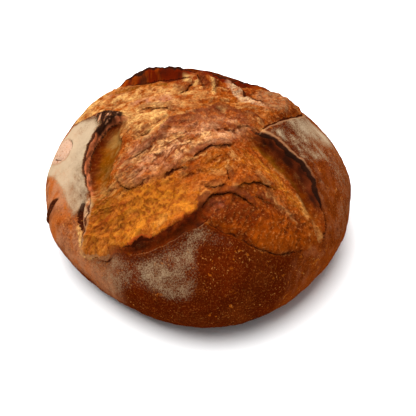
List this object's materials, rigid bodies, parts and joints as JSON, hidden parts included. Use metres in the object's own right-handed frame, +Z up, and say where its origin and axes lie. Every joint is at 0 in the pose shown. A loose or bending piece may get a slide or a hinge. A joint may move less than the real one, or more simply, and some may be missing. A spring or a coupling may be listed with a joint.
{
  "type": "sourdough loaf",
  "caption": "Round sourdough loaf with a scored, burst top, raised dark ears and a floured crust, standing on its flat base.",
  "frame": {"origin": "on the ground under the middle of the loaf's bounding box, at the flat base", "axes": "+Z up through the burst top; -Y towards the side with the two front cuts that meet in a point; +X to the right of it"},
  "size_m": [0.2454, 0.2426, 0.1151],
  "materials": {
    "crust": "baked crust, matt, partly floured"
  },
  "bodies": {
    "root": {"loaf": "crust"}
  },
  "joints": []
}
